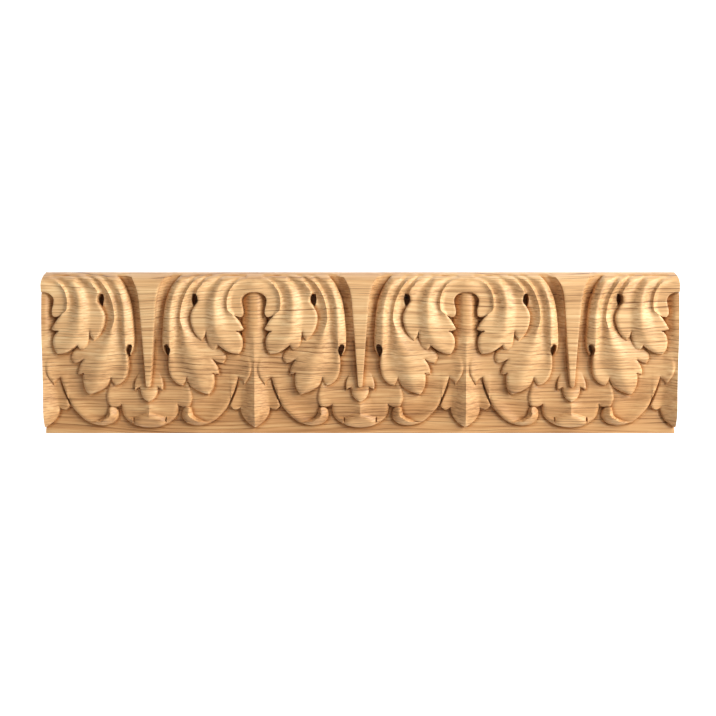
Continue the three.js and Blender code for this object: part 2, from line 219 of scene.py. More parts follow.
def inside_distance(polygon, u, v):
    """Distance from the polygon's edge, positive inside."""
    nearest = np.full(u.shape, 1e9)
    inside = np.zeros(u.shape, bool)
    for (u0, v0), (u1, v1) in zip(polygon, np.roll(polygon, -1, axis=0)):
        du, dv = u1 - u0, v1 - v0
        length = du * du + dv * dv
        if length < 1e-12:
            continue
        s = np.clip(((u - u0) * du + (v - v0) * dv) / length, 0, 1)
        nearest = np.minimum(nearest, (u - u0 - s * du) ** 2 + (v - v0 - s * dv) ** 2)
        if dv:
            inside ^= ((v0 > v) != (v1 > v)) & (u < u0 + (v - v0) * du / dv)
    return np.where(inside, 1, -1) * np.sqrt(nearest)


def line_distance(points, u, v):
    """Distance from an open line of points."""
    nearest = np.full(u.shape, 1e9)
    for (u0, v0), (u1, v1) in zip(points[:-1], points[1:]):
        du, dv = u1 - u0, v1 - v0
        s = np.clip(((u - u0) * du + (v - v0) * dv) / (du * du + dv * dv), 0, 1)
        nearest = np.minimum(nearest, (u - u0 - s * du) ** 2 + (v - v0 - s * dv) ** 2)
    return np.sqrt(nearest)


# The carved forms. Each has an edge that shows, a region that it fills, and a surface t(u, v, d),
# where d is the distance inside its region.

STEP = 0.5  # between the points of an outline
CREASE_STEP = 0.6  # between the points of a crest
SHARP = 0.35  # sharpness from which a crest gets a line of the mesh
FINE = 1500  # points on which a crest is measured

GROUND = [(0, FOOT), (12, FOOT), (24, 14), (40, 16.3), (50, 17.4), (60, 17.8), (CROWN_EDGE, 17.4)]
DART_TIP = 1.15  # half the dart's width at its foot
DART_FOOT = 24.8
DART_SPREAD = 0.0755  # gain in half the width for each mm upwards
FLARE_START = 62
FLARE_RISE = 17.5  # height over which the flare gains its width
FLARE = 5
SWEEP_WIDTH = 3.2
SWEEP_RISE = 3.4


def nose(v):
    """Thickness that no form is proud of: the highest crests below, the rounded crown above."""
    above = v - TOP + NOSE
    crest = (DEEPEST - CROWN) * np.clip(-above / CREST_END, 0, 1)
    return CROWN + crest - (CROWN - FOOT) * np.clip(above / NOSE, 0, 1) ** 2


def dart_half(v):
    """Half the dart's width: a slow taper, and a flare into the crown."""
    flare = FLARE * np.clip((v - FLARE_START) / FLARE_RISE, 0, 2) ** 3
    return DART_TIP + DART_SPREAD * (v - DART_FOOT) + flare


def ground(u, v):
    """The board between the forms: it rises to the crown, and sweeps up to the sides of the dart."""
    clear = HALF - u - dart_half(v)
    sweep = SWEEP_RISE * np.clip(1 - clear / SWEEP_WIDTH, 0, 1) ** 1.4 * smooth((v - 36) / 24)
    return np.where(v > CROWN_EDGE, nose(v), course(GROUND, v) + sweep)


def form_turn(polygon):
    """1 where the polygon runs anticlockwise, -1 where it runs clockwise."""
    ahead = np.roll(polygon, -1, axis=0)
    return 1 if (polygon[:, 0] * ahead[:, 1] - ahead[:, 0] * polygon[:, 1]).sum() > 0 else -1


def crease_lines(lines):
    """The crests of a loft as chains of points, a step apart."""
    chains = []
    for line, levels, sharpness in lines:
        v = np.linspace(levels[0][0], levels[-1][0], FINE)
        v = v[sharpness_at(sharpness, v) > SHARP]
        if not len(v):
            continue
        fine = np.column_stack([line(v), v])
        far = np.concatenate([[0], np.cumsum(np.linalg.norm(np.diff(fine, axis=0), axis=1))])
        at = np.searchsorted(far, np.arange(0, far[-1], CREASE_STEP))
        chains.append(fine[np.minimum(at, len(fine) - 1)])
    return chains


class Form:
    """One carved form.

    The edge is drawn, and the closing points take the region on under its neighbours. A ring's edge
    goes all the way round. The edge is rounded over by soft, across soft_width. A form that is drawn
    from the dart's axis is turned round to the drawing's own u.
    """

    def __init__(self, edge, surface, closing=(), soft=0.25, soft_width=0.6, ring=False,
                 from_dart=False, creases=(), holes=()):
        self.edge = closed(edge) if ring else edge
        self.ring = ring
        self.region = np.vstack([self.edge, closing]) if len(closing) else self.edge
        self.surface = surface
        self.soft = soft
        self.soft_width = soft_width
        self.from_dart = from_dart
        self.creases = list(creases)
        self.holes = list(holes)
        if from_dart:
            turned = (-1, 1)
            self.edge = self.edge * turned + (HALF, 0)
            self.region = self.region * turned + (HALF, 0)
            self.creases = [crease * turned + (HALF, 0) for crease in self.creases]
        self.turn = form_turn(self.region)

    def thickness(self, u, v, d):
        rounding = self.soft * np.clip(1 - d / self.soft_width, 0, 1) ** 2
        return self.surface(u, v, d) - rounding


def lofted(edge, lines, closing, **how):
    """Form whose surface is a loft."""
    return Form(edge, lambda u, v, d: loft(u, v, lines), closing, **how)


def arch():
    """Arch over the head of the pendant leaf, with a lobe hooked under its end."""
    edge = path((0, 69.5), [
        [(1.9, 69.4), (3.9, 68.7), (5.4, 67.4), (6.1, 65.6), (5.8, 63.2), (5.2, 60.7), (5.3, 58.6)],
        [(5.9, 57.7), (7.0, 57.4), (9.4, 58.2), (12.8, 61.2)],
        [(13.2, 64), (12.8, 67.4), (11.6, 70.8), (9.4, 73.6), (6.4, 76.1), (3.4, 79)],
    ], STEP)
    lines = [
        (upright(0), [(56, 23.0), (66, 23.3), (70, 23.5), (73, 23.9), (75, 23.0), (77, 20.4), (78, 19)], 0),
        (ARCH_VALLEY, [(57, 22.7), (61, 22.7), (66, 22.8), (70, 22.9), (73, 23.0), (75, 22.3), (77, 20),
                       (78, 18.3)], 0),
        (ARCH_CREST, [(57, 23.4), (61, 24.1), (66, 24.3), (72, 24.1), (76, 22.3), (78, 19)], 1.2),
        (beside(ARCH_CREST, 2), [(57, 22), (72, 22.4), (76, 20), (78, 17)], 0),
    ]
    return lofted(edge, lines, [(-5, 79), (-5, 69.5)], creases=crease_lines(lines))


def upper_leaf():
    """Upper leaf: its crest comes down from the crown and ends in lobes on both sides."""
    edge = path((9.6, 58.3), [
        [(7.2, 55.2), (5.1, 51.6)],
        [(6.0, 50.9), (8.0, 50.4)],
        [(6.2, 48.0), (5.6, 45.0), (6.1, 41.7), (7.6, 39.3)],
        [(11.2, 39.8), (14.2, 41.2), (17.6, 43.6)],
        [(18.7, 41.7), (20.6, 41.8), (22.2, 43.4), (23.1, 46.9), (23.5, 50.6)],
        [(24.0, 48.2), (25.6, 45.9)],
        [(27.8, 47.8), (30.0, 51.6), (31.1, 56.2), (30.7, 59.4), (29.3, 62.2), (27.5, 64.8)],
        [(27.7, 66.8), (28.9, 68.2)],
        [(27.2, 71.0), (25.0, 74.0), (22.5, 76.2), (19.0, 78.0)],
    ], STEP)
    lines = [
        (beside(ARCH_CREST, -4), [(36, 20), (50, 21.2), (58, 21.8), (72, 22), (76, 20), (78, 17)], 0),
        (ARCH_CREST, [(36, 20.8), (42, 21.9), (50, 23.2), (58, 23.7), (64, 24.2), (72, 24.1), (76, 22.3),
                      (78, 19)], [(36, 0), (54, 0), (60, 1.2), (78, 1.2)]),
        (LEAF_VALLEY, [(36, 21.4), (45, 23.0), (52, 23.5), (58, 23.0), (66, 22.6), (72, 22.4), (76, 20.6),
                       (78, 17.4)], 0),
        (LEAF_CREST, [(36, 21.8), (42, 23.2), (50, 24.5), (58, 25), (66, 24.9), (72, 24.1), (76, 22.4),
                      (78.5, 18)], 0.3),
        (RIM_VALLEY, [(40, 21.8), (46, 22.4), (50, 22.7), (58, 23.0), (66, 22.8), (72, 22.1), (76, 20.2),
                      (78.5, 16.9)], 0),
        (RIM, [(44, 22.3), (50, 22.8), (58, 23.3), (66, 24.0), (72, 24.1), (76, 22.3), (79, 17)],
         [(44, 0), (60, 0), (68, 0.8), (79, 0.8)]),
        (beside(RIM, 3), [(44, 22.0), (58, 23.6), (72, 24.1), (76, 22.3), (79, 17)], 0),
    ]
    return lofted(edge, lines, [(3, 77.5), (10, 67)], soft=0.7, soft_width=1.1,
                  creases=crease_lines(lines))


# Holes where a strand parts from the rim of the leaf inside it
UPPER_EYE = path((28.6, 68.8), [
    [(30.0, 68.8)],
    [(30.5, 66.4), (30.3, 64.4), (29.7, 62.6)],
    [(28.3, 64.2), (27.6, 65.8), (27.8, 67.6), (28.6, 68.8)],
], STEP / 2)[:-1]
LOWER_EYE = path((42.3, 43.9), [
    [(43.4, 44.0), (44.2, 43.3)],
    [(43.9, 41.2), (43.1, 39.4), (42.2, 38.0)],
    [(41.4, 39.7), (41.1, 41.7), (42.3, 43.9)],
], STEP / 2)[:-1]


def lower_leaf():
    """Lower leaf: its strands pass outside the upper leaf, and the outermost turns in to an eye."""
    edge = path((17.0, 43.0), [
        [(14.6, 40.2), (13.9, 37.4), (15.4, 34.7)],
        [(17.9, 35.4), (20.5, 36.8)],
        [(18.9, 34.6), (17.8, 32.2), (17.4, 29.5)],
        [(19.9, 29.5)],
        [(19.8, 26.5), (20.2, 23.4), (21.3, 20.9), (22.6, 19.3)],
        [(27.2, 20.9), (30.6, 22.8), (32.2, 24.8), (33.4, 27.6)],
        [(34.2, 25.6), (35.3, 23.8)],
        [(37.8, 24.6), (40.4, 27.1), (41.8, 30.5), (42.2, 34.3), (41.9, 38.2)],
        [(43.7, 39.9), (44.8, 42.4), (45.1, 46), (44.9, 52), (44.2, 60), (43.2, 65.6), (41.6, 70),
         (39.4, 74.2), (36, 78.5)],
    ], STEP)
    lines = [
        (beside(STRAND, -6), [(18, 17), (44, 19.4), (60, 20.6), (72, 21.4), (76, 20), (79, 15)], 0),
        (STRAND, [(18, 17.8), (28, 19.2), (36, 20.2), (44, 21.0), (54, 20.4), (60, 20.8), (64, 22.0),
                  (68, 23.5), (72, 24.1), (76, 22.4), (79, 17)], [(18, 0), (60, 0), (68, 0.6), (79, 0.6)]),
        (STRAND_VALLEY, [(18, 18.6), (26, 20.3), (36, 21.7), (44, 22.1), (54, 21.4), (66, 21.4), (72, 22.0),
                         (76, 20.2), (79, 15.4)], 0),
        (LOWER_CREST, [(18, 19), (26, 21.1), (32, 22.2), (38, 22.9), (54, 23.4), (66, 23.5), (72, 24),
                       (76, 22.3), (79, 17)], [(18, 0), (46, 0), (58, 0.8), (79, 0.8)]),
        (LOWER_VALLEY, [(18, 18.0), (26, 19.4), (38, 20.8), (54, 21.6), (66, 21.9), (72, 22.0), (76, 20.2),
                        (79, 15.6)], 0),
        (OUTER_CREST, [(18, 19), (28, 20.3), (36, 21.6), (44, 23.2), (54, 24.0), (66, 24.1), (76, 22.4),
                       (79, 17)], [(18, 0.8), (40, 0.8), (48, 0.3), (79, 0.3)]),
        (OUTER_EDGE, [(18, 18), (28, 19.8), (44, 21.6), (66, 21.9), (72, 21.9), (76, 20.6),
                      (79, 15.6)], 0.8),
    ]
    return lofted(edge, lines, [(12, 78), (22, 60)], soft=0.7, soft_width=1.1,
                  creases=crease_lines(lines), holes=[UPPER_EYE, LOWER_EYE])


# Outer edge of the cup, from the stem round to the scroll at its end
CUP_EDGE = [(13.6, 13.3), (16.2, 10.2), (19.1, 7.3), (22.3, 5.3), (25.8, 4.25), (29, 4), (32.8, 4.8),
            (35.2, 6.6), (36.3, 9.1), (36, 11.6)]
LIP_START = 3  # the place in it where the lip begins
LIP_FOOT = 15.0  # t from which the lip rises
SEPAL_END = 12  # u up to which the sepal shows beside the cup
JOINT = 0.4  # softness of the joint between them

# Front of the pendant leaf and of the sepals beside it
PENDANT_LINES = [
    (upright(0), [(3, 15.2), (5.4, 16.8), (8.2, 18.2), (12, 18.9), (21, 19.2), (31, 20.1), (38.6, 20.9),
                  (44.5, 21.9), (53, 22.5), (60, 22.6), (66, 22.4), (71, 22.2)],
     [(3, 1.0), (38, 1.0), (50, 0.2), (71, 0.2)]),
    (upright(2.0), [(3, 14.8), (9, 17.2), (12, 17.9), (21, 18.2), (31, 19.4), (38.6, 20.3), (53, 22.2),
                    (60, 22.3), (66, 22.1), (71, 21.9)], 0.3),
    (upright(5.0), [(3, 14.0), (9, 15.5), (12, 16.0), (21, 16.4), (31, 18.1), (38.6, 19.5), (46, 20.0),
                    (53, 19.9), (60, 19.7), (71, 19.6)], 0.3),
    (upright(7.2), [(3, 13.8), (9, 14.9), (12, 15.0), (21, 15.8), (31, 17.4), (38.6, 18.6), (46, 18.8),
                    (53, 18.6), (60, 18.4), (71, 18.4)], 0),
    (upright(12.5), [(3, 13.6), (12, 15.9), (24, 16.0), (71, 18)], 0),
]


def calyx():
    """Calyx: a sepal beside the pendant leaf, opening into a wide shallow cup."""
    edge = path((2.1, 38), [
        [(1.5, 35), (1.5, 32.2), (2.5, 28.4), (5, 24.5)],
        [(6.3, 26.6), (8.2, 27.9)],
        [(8.9, 25.2), (10.4, 20.8), (12, 17), *CUP_EDGE],
        [(34.9, 12.8), (33.6, 12.4)],
    ], STEP)
    stem = [(4, 26), (5.3, 22.3), (7.3, 19.1), (10.2, 16.2), (13.3, 13.6), (20.8, 10.4), (27.9, 8.2),
            (30, 2)]

    def surface(u, v, d):
        over = u - course(stem, v)
        rim = course([(3, 15.3), (12, 15.9), (20, 16.8), (28, 18.1), (34, 18.7), (38, 18.9), (42, 18.0)], v)
        hollow = 1.1 * smooth((over - 0.5) / 9) * smooth((36 - v) / 12)
        shoulder = 1.3 * smooth((u - 23) / 9) * smooth((v - 12) / 5)
        cup = rim - hollow + shoulder
        sepal_lift = 0.5 * smooth((39 - v) / 5) + 0.6 * smooth((36 - v) / 8)
        sepal = loft(u, v, PENDANT_LINES) + sepal_lift
        joined = (cup + sepal + np.sqrt((cup - sepal) ** 2 + JOINT)) / 2
        return np.where(u < SEPAL_END, joined, cup)

    return Form(edge, surface, [(34, 20), (34, 42), (2.1, 42)], soft=0.8, soft_width=1.4)


def lip():
    """The rolled lip of the cup: it widens and rises to a scroll at its end."""
    edge = path((21.5, 5.5), [
        CUP_EDGE[LIP_START:],
        [(34.9, 12.8), (33.2, 13.2), (31.6, 12.9)],
        [(31.2, 11), (30.7, 9.2), (29.4, 7.9), (27.3, 6.9), (24.8, 6.0), (21.5, 5.5)],
    ], STEP)
    outer = path(CUP_EDGE[0], [CUP_EDGE[1:]], STEP)

    def surface(u, v, d):
        width = course([(21, 0.6), (25, 1.9), (28, 2.9), (31, 4.4), (33, 4.9), (37, 5.0)], u)
        share = line_distance(outer, u, v) / width
        height = 0.6 + 2.0 * smooth((u - 22) / 9) - 0.5 * smooth((v - 9) / 4)
        return LIP_FOOT + height * course([(0, 0), (0.3, 0.5), (0.7, 1.0), (1.0, 0.3)], share)

    return Form(edge, surface, soft=0.3, soft_width=0.6, ring=True)


def pendant():
    """Pendant leaf: the round stem under the arch and the barbed leaf that ends it."""
    edge = path((0, 3.0), [
        [(2.3, 4.4), (4.7, 6.5), (6.4, 9.1), (7.1, 11.2), (7.3, 12.8)],
        [(8.6, 12.0), (10.0, 11.7)],
        [(11.3, 12.5), (12.4, 13.9)],
        [(11.3, 16.8), (9.8, 20.4), (8.8, 23.8), (8.3, 28)],
        [(6.6, 38), (6.2, 52), (6.3, 62), (6.6, 71)],
    ], STEP)
    return lofted(edge, PENDANT_LINES, [(6.6, 73), (-5, 73), (-5, 3.0)], soft=0.4)


# The dart and what is round its foot are drawn from their own axis, with w = 0 there.

def dart():
    """Dart between two leaves, widening up into the crown."""
    levels = np.arange(24.4, 79.6, STEP)
    sides = np.column_stack([dart_half(levels), levels])
    foot = path((0, 22.9), [[(0.55, 23.0), (0.95, 23.5), (sides[0, 0], sides[0, 1])]], STEP / 2)[:-1]
    edge = np.vstack([foot, sides])
    face = [(22, 21.4), (40, 21.7), (50, 22.3), (60, 23.2), (68, CROWN), (80, CROWN)]
    return Form(edge, lambda w, v, d: course(face, v), [(-20, 79.6), (-20, 22.9)], soft=0.2,
                soft_width=0.5, from_dart=True)


# Crease of the shell leaf, above its turned-out lip, and how far out the nicks in the lip lie
CREASE = [(0, 10.4), (2.5, 10.0), (5.0, 9.2), (7.9, 8.2), (11, 8.6), (14.2, 10.5)]
NICK = 7.9
SHELL_BACK = 14.9


def shell_face(w, v):
    """The leaf under the bud: hollow above its crease, turned over in a broad lobe below it."""
    fold = course(CREASE, w)
    above = np.maximum(v - fold, 0)
    below = np.maximum(fold - v, 0)
    back = SHELL_BACK + course([(0, 0), (2, 0.5), (6, 1.5), (14, 2.2), (50, 3.6)], above)
    dish = 1.4 * np.clip((w - 9.5) / 10.5, 0, 1) ** 1.5 * smooth((v - 11) / 3)
    width = course([(7, 10), (11, 9.5), (16, 6), (25, 4)], v)
    height = course([(7, 2.4), (11, 2.4), (16, 1.4), (20, 0.9), (25, 0)], v) * smooth(1 - below / 5)
    ridge = height * np.clip(1 - w / width, 0, 1) ** 1.6
    lobe = course([(0, 0), (1.2, 1.1), (3.2, 1.9), (6, 1.2), (8, 0.3)], below)
    lobe = lobe * (1 - 0.55 * np.clip(w / NICK, 0, 1) ** 4)
    rim = 1.0 * np.clip(1 - (w - NICK) / 5.5, 0, 1) * smooth(below / 1.2)
    return np.where(v > fold, back + dish, SHELL_BACK + np.where(w < NICK, lobe, rim)) + ridge


def shell():
    """Shell leaf under the dart."""
    edge = path((0, 2.9), [
        [(3.4, 3.2), (7, 4.2), (10.8, 6.3), (13, 8.7), (13.9, 11.4), (14.1, 14)],
        [(16.6, 13), (19.2, 12.6)],
        [(20.2, 14.6), (21.1, 17.4), (20.8, 20.2), (19.9, 24)],
        [(16, 40), (14, 60)],
    ], STEP)
    return Form(edge, lambda w, v, d: shell_face(w, v), [(-5, 60), (-5, 2.9)], soft=0.9,
                soft_width=1.4, from_dart=True, creases=[path(CREASE[0], [CREASE[1:]], STEP)])


def bud():
    """Bud at the foot of the dart."""
    edge = path((0, 15.8), [
        [(1.4, 16.5), (2.9, 17.8), (4.0, 20.0), (4.4, 22.4), (4.4, 23.3)],
        [(2, 23.3), (0, 23.3)],
    ], STEP)

    def surface(w, v, d):
        return 19.7 - 0.07 * w * w * smooth((23 - v) / 4) - 0.9 * smooth((v - 19.8) / 3)

    return Form(edge, surface, [(-5, 23.3), (-5, 15.8)], soft=0.5, soft_width=0.9, from_dart=True)


def sepal():
    """Sepal that opens beside the bud and curls at its tip."""
    edge = path((4.1, 23.1), [
        [(5.3, 22.7), (6.7, 21.8)],
        [(7.0, 24.2), (6.3, 27.4), (5.2, 29.8)],
        [(3.4, 31), (1.0, 31.5)],
    ], STEP)

    def surface(w, v, d):
        spread = shell_face(w, 24.5) + 0.3 + 1.5 * smooth((30.0 - v) / 6.0) + 0.05 * (v - 24.5)
        return spread + 0.6 * smooth((23.8 - v) / 1.6) * smooth((w - 3.6) / 1.2)

    return Form(edge, surface, [(-5, 31.5), (-5, 21.0), (3.4, 21.0)], soft=0.4, from_dart=True)


# The relief over one half repeat

CUT_DEPTH = 0.9  # of the setting-in cut that each form's edge leaves in what lies lower
CUT_WIDTH = 1.7
BRIM_DEPTH = 0.35  # rounding round an eye
BRIM_WIDTH = 0.8
NICK_LINE = np.array([(HALF - NICK, 6.2), (HALF - NICK, 6.8), (HALF - NICK, 7.5)])
NICK_HALF_WIDTH = 0.5
NICK_DEPTH = 1.8
ABSENT = -1.0  # thickness of a form beside its region
FORMS = [arch(), upper_leaf(), lower_leaf(), calyx(), lip(), pendant(), dart(), shell(), bud(), sepal()]


def surfaces(u, v):
    """For every form, the thickness of its surface at the points and the distance inside its region."""
    found = []
    for form in FORMS:
        d = inside_distance(form.region, u, v)
        t = form.thickness(HALF - u if form.from_dart else u, v, d)
        for hole in form.holes:
            gap = inside_distance(hole, u, v)
            brim = BRIM_DEPTH * np.clip(1 + gap / BRIM_WIDTH, 0, 1) ** 2
            t = np.where(gap > 0, EYE_FLOOR, t - brim)
        found.append((t, d))
    return found


def heights(u, v):
    """Thickness of every form at the points, one row each."""
    return np.array([np.where(d > 0, t, ABSENT) for t, d in surfaces(u, v)])


def relief(u, v):
    """Thickness of the finished carving at the points."""
    found = surfaces(u, v)
    top = np.maximum(np.max([np.where(d > 0, t, ABSENT) for t, d in found], axis=0), ground(u, v))
    cut = np.zeros(u.shape)
    for t, d in found:
        near = np.clip(1 + d / CUT_WIDTH, 0, 1) ** 1.5 * (d <= 0)
        cut = np.maximum(cut, CUT_DEPTH * near * np.clip((t - top) / CUT_DEPTH, 0, 1))
    reach = line_distance(NICK_LINE, u, v) / NICK_HALF_WIDTH
    t = top - cut - NICK_DEPTH * np.clip(1 - reach ** 2, 0, 1)
    for hole in (UPPER_EYE, LOWER_EYE):
        t = np.where(inside_distance(hole, u, v) > 0, EYE_FLOOR, t)
    return np.clip(np.minimum(t, nose(v)), THINNEST, DEEPEST)


# The mesh of one half repeat

EDGE_GAP = 0.1  # from an edge to the lines of points on both sides of it
ROUND_GAP = 0.5  # from an edge to the lines that bound its rounding
GAP_ERROR = 0.35  # share of such a gap that a line may be out before it is dropped
PROUD = 0.05  # height from which an edge shows
SNAP = 0.3  # distance at which a line's end is taken to a symmetry line
CREASE_INSET = 0.45
SPACING = 0.74  # of the points between the lines
ROW_SHARE = 0.87  # distance between their rows, as a share of it
FRAME_SPACING = 1.3  # of the points along the foot and the top
CLEARANCE = 0.34  # between such a point and any line
SAME = 1e-4


def runs_of(chain, keep, ring):
    """Stretches of the chain where every point is kept."""
    if ring and keep.all():
        return [np.vstack([chain, chain[:1]])]
    stretches, current = [], []
    for point, kept in zip(chain, keep):
        if kept:
            current.append(point)
        elif current:
            stretches.append(current)
            current = []
    if current:
        stretches.append(current)
    return [np.array(stretch) for stretch in stretches if len(stretch) > 1]


def on_axes(chain):
    """The chain with ends that lie on a symmetry line put exactly on it, and nothing beyond."""
    chain = chain.copy()
    for end in (0, -1):
        for axis in (0.0, HALF):
            if abs(chain[end, 0] - axis) < SNAP:
                chain[end, 0] = axis
    chain[:, 0] = np.clip(chain[:, 0], 0, HALF)
    return chain


def guide_lines():
    """Lines that the mesh follows: both sides of each visible edge, its rounding, and each crest."""
    lines = []
    for number, form in enumerate(FORMS):
        rims = [(form.region, form.edge, form.turn, form.ring, 1)]
        rims += [(hole, hole, form_turn(hole), True, -1) for hole in form.holes]
        for region, edge, turn, ring, side in rims:
            top = offset(edge, side * turn * EDGE_GAP, ring)
            rows = heights(top[:, 0], top[:, 1])
            level = nose(top[:, 1])
            own = np.minimum(rows[number], level)
            rows[number] = -1
            others = np.minimum(np.maximum(rows.max(axis=0), ground(top[:, 0], top[:, 1])), level)
            shows = own > others + PROUD
            for distance in (-ROUND_GAP, -EDGE_GAP, EDGE_GAP, ROUND_GAP):
                chain = offset(edge, side * turn * distance, ring)
                gap = side * inside_distance(region, chain[:, 0], chain[:, 1])
                keep = shows & (np.abs(gap - distance) < GAP_ERROR * abs(distance))
                if distance == ROUND_GAP:
                    rows = heights(chain[:, 0], chain[:, 1])
                    keep &= rows.argmax(axis=0) == number
                lines += [on_axes(run) for run in runs_of(chain, keep, ring)]
        for crease in form.creases:
            rows = heights(crease[:, 0], crease[:, 1])
            d = inside_distance(form.region, crease[:, 0], crease[:, 1])
            bare = (rows.argmax(axis=0) == number) & (d > CREASE_INSET)
            bare &= rows.max(axis=0) < nose(crease[:, 1]) - PROUD
            bare &= (crease[:, 0] > SNAP) & (crease[:, 0] < HALF - SNAP)
            lines += runs_of(crease, bare, False)
    for distance in (-NICK_HALF_WIDTH, 0, NICK_HALF_WIDTH):
        lines.append(offset(NICK_LINE, distance, False))
    return lines


def thinned(points, others):
    """Points that keep their clearance from all the others."""
    tree = KDTree(len(others))
    for i, (u, v) in enumerate(others):
        tree.insert((u, v, 0), i)
    tree.balance()
    return [point for point in points if tree.find((*point, 0))[2] > CLEARANCE]


def half_repeat():
    """Vertices (u, v, t) and triangles of the carved face between two symmetry lines."""
    lines = guide_lines()
    on_lines = np.vstack(lines)
    rim = [(0, 0), (HALF, 0), (HALF, TOP), (0, TOP)]
    for u in (0.0, HALF):
        rim += thinned([(u, v) for v in np.arange(SPACING, TOP - 0.1, SPACING)], on_lines)
    for v in (0.0, TOP):
        rim += [(u, v) for u in np.arange(FRAME_SPACING, HALF - 0.5, FRAME_SPACING)]
    grid = []
    for row, v in enumerate(np.arange(SPACING * ROW_SHARE, TOP - 0.2, SPACING * ROW_SHARE)):
        shift = SPACING / 2 * (row % 2)
        grid += [(u, v) for u in np.arange(SPACING / 2 + shift, HALF - 0.2, SPACING)]
    grid = thinned(grid, np.vstack([on_lines, rim]))

    points, edges = [], []
    for line in lines:
        first = len(points)
        points += list(line)
        edges += [(i, i + 1) for i in range(first, len(points) - 1)]
    points += [*rim, *grid]
    made = delaunay_2d_cdt([Vector(point) for point in points], edges, [], 0, SAME)
    flat = np.array([tuple(point) for point in made[0]])
    # a point beside a symmetry line lies exactly on it
    for axis in (0.0, HALF):
        flat[np.abs(flat[:, 0] - axis) < SAME, 0] = axis
    return np.column_stack([flat, relief(flat[:, 0], flat[:, 1])]), np.array(made[2])


# The moulding as one closed mesh

DIGITS = 4  # at which two corners are one
CREASE_ANGLE = math.radians(34)


def carved_board():
    """The half repeats side by side, closed by the plain foot, top, ends and back."""
    verts, triangles = half_repeat()
    places, table, faces = {}, [], []

    def corner(u, v, t):
        key = (round(u, DIGITS), round(v, DIGITS), round(t, DIGITS))
        if key not in places:
            places[key] = len(table)
            table.append((LOW.x + u * ALONG, HIGH.y - t * OUT, LOW.z + v * UP))
        return places[key]

    for half in range(2 * REPEATS):
        mirrored = half % 2 == 1
        order = (0, 2, 1) if mirrored else (0, 1, 2)
        ids = [corner(half * HALF + (HALF - u if mirrored else u), v, t) for u, v, t in verts]
        faces += [tuple(ids[triangle[k]] for k in order) for triangle in triangles]

    def side(axis, value):
        """Corners of the front that lie at the value of the axis, in order along the other axis."""
        found = [(key[1 - axis], index) for key, index in places.items() if key[axis] == value]
        return [index for _, index in sorted(found)]

    length = 2 * REPEATS * HALF
    foot, top, left, right = side(1, 0), side(1, TOP), side(0, 0), side(0, length)
    back = [corner(u, v, 0) for u, v in ((0, 0), (length, 0), (length, TOP), (0, TOP))]
    faces.append((back[0], back[1], *foot[::-1]))
    faces.append((*top, back[2], back[3]))
    faces.append((back[0], *left, back[3]))
    faces.append((back[2], *right[::-1], back[1]))
    faces.append(tuple(back[::-1]))

    mesh = bpy.data.meshes.new("carved_oak")
    mesh.from_pydata(table, [], faces)
    mesh.validate()
    work = bmesh.new()
    work.from_mesh(mesh)
    bmesh.ops.recalc_face_normals(work, faces=work.faces)
    work.to_mesh(mesh)
    work.free()
    mesh.shade_smooth()
    mesh.set_sharp_from_angle(angle=CREASE_ANGLE)
    return mesh


moulding = bpy.data.objects.new("carved_oak", carved_board())
bpy.context.scene.collection.objects.link(moulding)


# Oak, cut along the board

RING_SLOPE = math.radians(14)  # of the growth rings through the board's thickness
RING_WIDTH = 0.0016
OAK_DARK = (0.24, 0.11, 0.042, 1)
OAK_MIDDLE = (0.66, 0.385, 0.18, 1)
OAK_PALE = (0.88, 0.655, 0.37, 1)
# tint multiplied into the oak as painted shade, where the carving lies low and in the column under each
# arch
SHADE_TINT = (0.82, 0.71, 0.60, 1)

# Noises, by their scales along the board, along the rings and across them
SWAY = (7, 12, 45)
RIPPLE = (35, 40, 220)
RING_STRENGTH = (5, 0, 3.7)
PORES = (45, 300, 1100)
FIBRE = (22, 500, 1300)
BANDS = (6, 30, 180)
SWAY_REACH = 0.014
RIPPLE_REACH = 0.0009
PORE_DEPTH = 0.85  # how much darker the open pores are than the wood round them
BUMP_HEIGHT = 0.0002

# Ranges over which painted shade darkens the oak: inwards from the crests, and in the column under each
# arch
LOW_SHADE_RANGE = (-0.024, -0.015)
COLUMN_SIDE = (0.0056, 0.0044)
COLUMN_HEAD = (0.030, 0.028)
COLUMN_FOOT = (0.002, 0.014)
COLUMN_SHADE = 0.9


